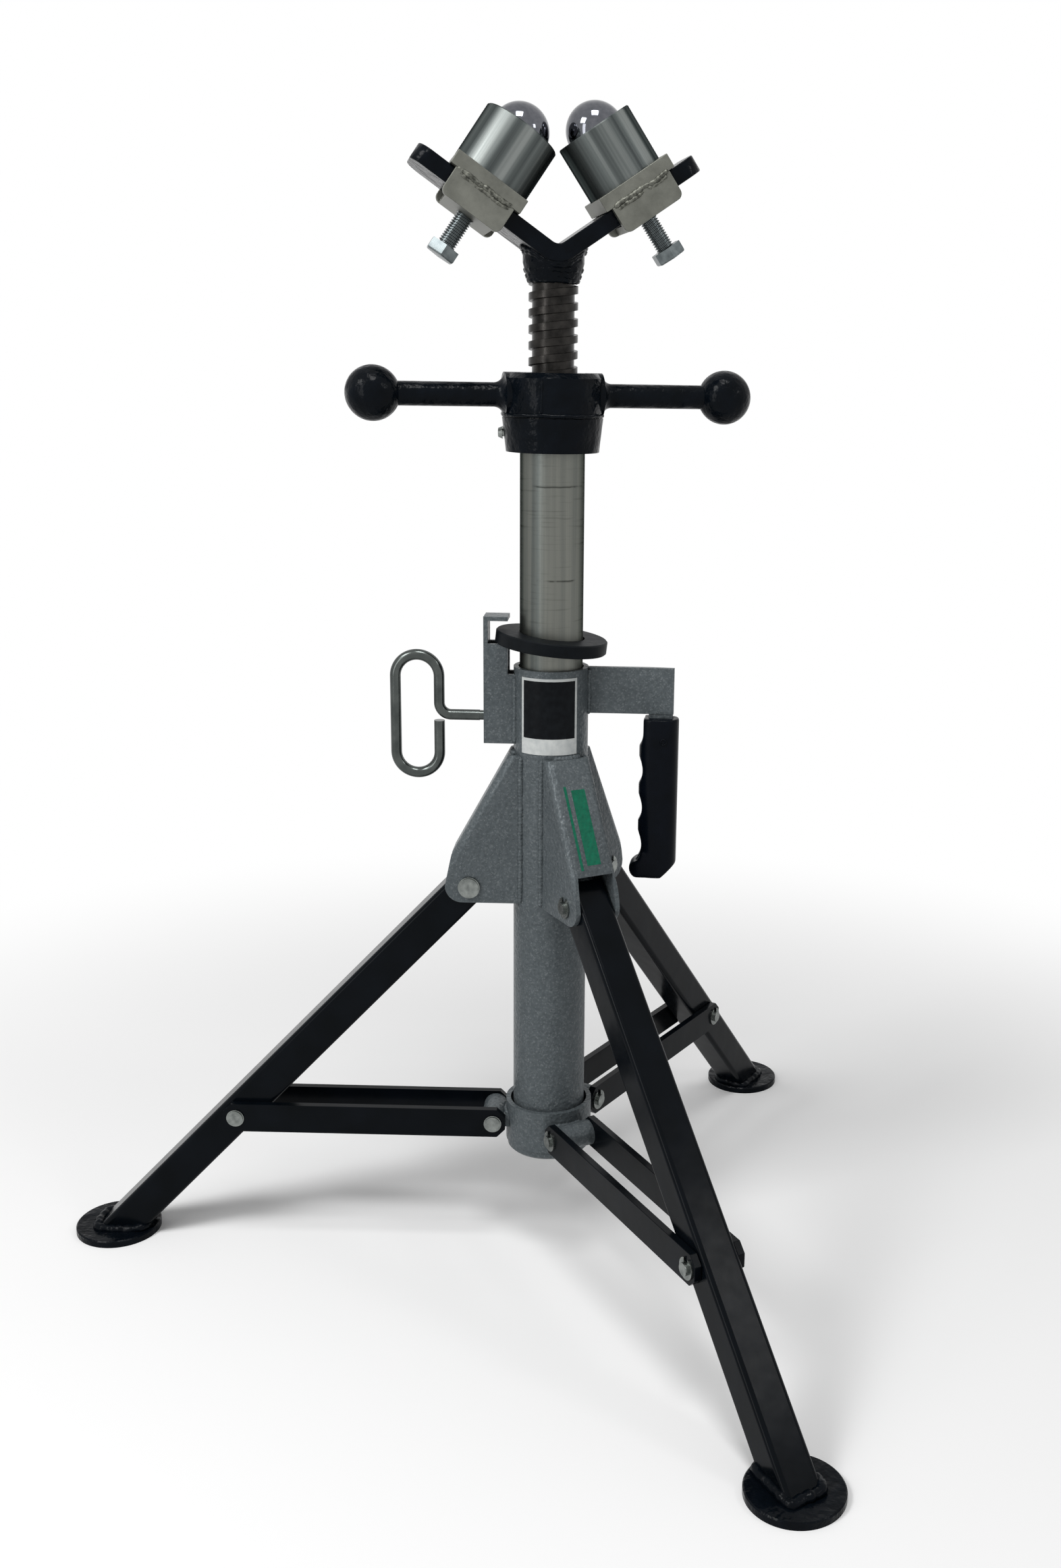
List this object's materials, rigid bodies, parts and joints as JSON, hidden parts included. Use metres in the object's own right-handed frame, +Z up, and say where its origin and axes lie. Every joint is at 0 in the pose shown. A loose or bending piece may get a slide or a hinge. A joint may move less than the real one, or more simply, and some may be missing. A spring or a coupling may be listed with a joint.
{
  "type": "pipe roller support",
  "caption": "Folding tripod jack stand with a V head that carries pipe on ball units, a hand nut on a jack screw, a sliding mast with a clutch ring and a carry grip.",
  "frame": {"origin": "on the floor under the post axis", "axes": "+Z up along the post, +X towards the carry handle, so the loop screw is on the -X side"},
  "size_m": [0.6405, 0.7284, 0.9408],
  "materials": {
    "grey_paint": "grey hammer paint",
    "black_paint": "thick gloss black paint",
    "bare_steel": "bare drawn steel",
    "screw_steel": "oiled cut thread",
    "turned_steel": "turned steel",
    "bright_steel": "bright steel",
    "zinc": "zinc plated steel",
    "ball_steel": "polished bearing ball",
    "grip_black": "moulded black grip"
  },
  "bodies": {
    "post": {"outer_tube": "grey_paint", "stop_ring": "grey_paint", "leg_bracket_left": "grey_paint", "leg_bracket_front": "grey_paint", "leg_bracket_rear": "grey_paint", "leg_pins": "bright_steel", "leg_pin_clips": "bright_steel", "hook_bracket": "grey_paint", "lock_nut": "bright_steel", "handle_bar": "grey_paint", "handle_grip": "grip_black"},
    "clutch": {"clutch_ring": "black_paint"},
    "lock": {"loop_screw": "bright_steel"},
    "mast": {"mast_tube": "bare_steel"},
    "hand_nut": {"nut_hub": "black_paint", "nut_bars": "black_paint", "nut_knobs": "black_paint", "nut_set_screw": "bright_steel"},
    "head": {"jack_screw": "screw_steel", "head_neck": "black_paint", "vee_bar": "black_paint"},
    "saddle_right": {"saddle_right": "zinc", "saddle_plate_right": "zinc", "ball_cup_right": "turned_steel", "support_balls_right": "ball_steel", "ball_keeper_right": "turned_steel"},
    "ball_right": {"ball_right": "ball_steel"},
    "bolt_right": {"clamp_bolt_right": "zinc"},
    "saddle_left": {"saddle_left": "zinc", "saddle_plate_left": "zinc", "ball_cup_left": "turned_steel", "support_balls_left": "ball_steel", "ball_keeper_left": "turned_steel"},
    "ball_left": {"ball_left": "ball_steel"},
    "bolt_left": {"clamp_bolt_left": "zinc"},
    "collar": {"slide_collar": "grey_paint", "collar_lugs": "grey_paint"},
    "leg_left": {"leg_left": "black_paint", "foot_left": "black_paint", "cross_pin_left": "bright_steel"},
    "braces_left": {"braces_left": "black_paint", "brace_pins_left": "bright_steel", "brace_clips_left": "bright_steel"},
    "leg_front": {"leg_front": "black_paint", "foot_front": "black_paint", "cross_pin_front": "bright_steel"},
    "braces_front": {"braces_front": "black_paint", "brace_pins_front": "bright_steel", "brace_clips_front": "bright_steel"},
    "leg_rear": {"leg_rear": "black_paint", "foot_rear": "black_paint", "cross_pin_rear": "bright_steel"},
    "braces_rear": {"braces_rear": "black_paint", "brace_pins_rear": "bright_steel", "brace_clips_rear": "bright_steel"}
  },
  "joints": [
    {"name": "mast_slide", "type": "slide", "parent": "post", "child": "mast", "axis": [0, 0, 1], "range_m": [-0.128, 0.17]},
    {"name": "nut_turn", "type": "hinge", "parent": "mast", "child": "hand_nut", "pos_m": [0, 0, 0.708], "axis": [0, 0, 1], "range_deg": [-2880, 1800]},
    {"name": "screw_lift", "type": "slide", "parent": "mast", "child": "head", "axis": [0, 0, 1], "range_m": [-0.0602, 0.0962]},
    {"name": "clutch_tilt", "type": "hinge", "parent": "post", "child": "clutch", "pos_m": [-0.03425, 0, 0.5305], "axis": [0, -1, 0], "range_deg": [0, 6.4]},
    {"name": "lock_turn", "type": "hinge", "parent": "post", "child": "lock", "pos_m": [-0.05375, 0, 0.47], "axis": [-1, 0, 0], "range_deg": [0, 1080]},
    {"name": "saddle_right_slide", "type": "slide", "parent": "head", "child": "saddle_right", "axis": [0.809, 0.172, 0.5621], "range_m": [0, 0.0195]},
    {"name": "ball_right_roll", "type": "hinge", "parent": "saddle_right", "child": "ball_right", "pos_m": [0.03026, 0.00643, 0.91859], "axis": [-0.2079, 0.9781, 0], "continuous": true},
    {"name": "bolt_right_turn", "type": "hinge", "parent": "saddle_right", "child": "bolt_right", "pos_m": [0.06617, 0.01406, 0.86458], "axis": [0.5498, 0.1169, -0.8271], "range_deg": [0, 1080]},
    {"name": "saddle_left_slide", "type": "slide", "parent": "head", "child": "saddle_left", "axis": [-0.809, -0.172, 0.5621], "range_m": [0, 0.0255]},
    {"name": "ball_left_roll", "type": "hinge", "parent": "saddle_left", "child": "ball_left", "pos_m": [-0.02541, -0.0054, 0.91522], "axis": [-0.2079, 0.9781, 0], "continuous": true},
    {"name": "bolt_left_turn", "type": "hinge", "parent": "saddle_left", "child": "bolt_left", "pos_m": [-0.06131, -0.01303, 0.86121], "axis": [-0.5498, -0.1169, -0.8271], "range_deg": [0, 1080]},
    {"name": "leg_left_fold", "type": "hinge", "parent": "post", "child": "leg_left", "pos_m": [-0.0654, 0, 0.329], "axis": [0, -1, 0], "range_deg": [0, 37.6]},
    {"name": "leg_front_fold", "type": "hinge", "parent": "post", "child": "leg_front", "pos_m": [0.0327, -0.05664, 0.329], "axis": [0.866, 0.5, 0], "range_deg": [0, 37.6]},
    {"name": "leg_rear_fold", "type": "hinge", "parent": "post", "child": "leg_rear", "pos_m": [0.0327, 0.05664, 0.329], "axis": [-0.866, 0.5, 0], "range_deg": [0, 37.6]},
    {"name": "collar_slide", "type": "slide", "parent": "post", "child": "collar", "axis": [0, 0, 1], "range_m": [0, 0.13595]},
    {"name": "brace_left_swing", "type": "hinge", "parent": "collar", "child": "braces_left", "pos_m": [-0.0465, 0, 0.11765], "axis": [0, -1, 0], "range_deg": [0, 77.17]},
    {"name": "brace_front_swing", "type": "hinge", "parent": "collar", "child": "braces_front", "pos_m": [0.02325, -0.04027, 0.11765], "axis": [0.866, 0.5, 0], "range_deg": [0, 77.17]},
    {"name": "brace_rear_swing", "type": "hinge", "parent": "collar", "child": "braces_rear", "pos_m": [0.02325, 0.04027, 0.11765], "axis": [-0.866, 0.5, 0], "range_deg": [0, 77.17]}
  ],
  "couplings": [
    {"joint": "screw_lift", "follows": "nut_turn", "m_per_rad": -0.0019099},
    {"joint": "leg_front_fold", "follows": "leg_left_fold", "ratio": 1},
    {"joint": "leg_rear_fold", "follows": "leg_left_fold", "ratio": 1},
    {"joint": "collar_slide", "follows": "leg_left_fold", "m_per_rad": 0.20701},
    {"joint": "brace_left_swing", "follows": "leg_left_fold", "ratio": 2.0518},
    {"joint": "brace_front_swing", "follows": "leg_left_fold", "ratio": 2.0518},
    {"joint": "brace_rear_swing", "follows": "leg_left_fold", "ratio": 2.0518}
  ]
}
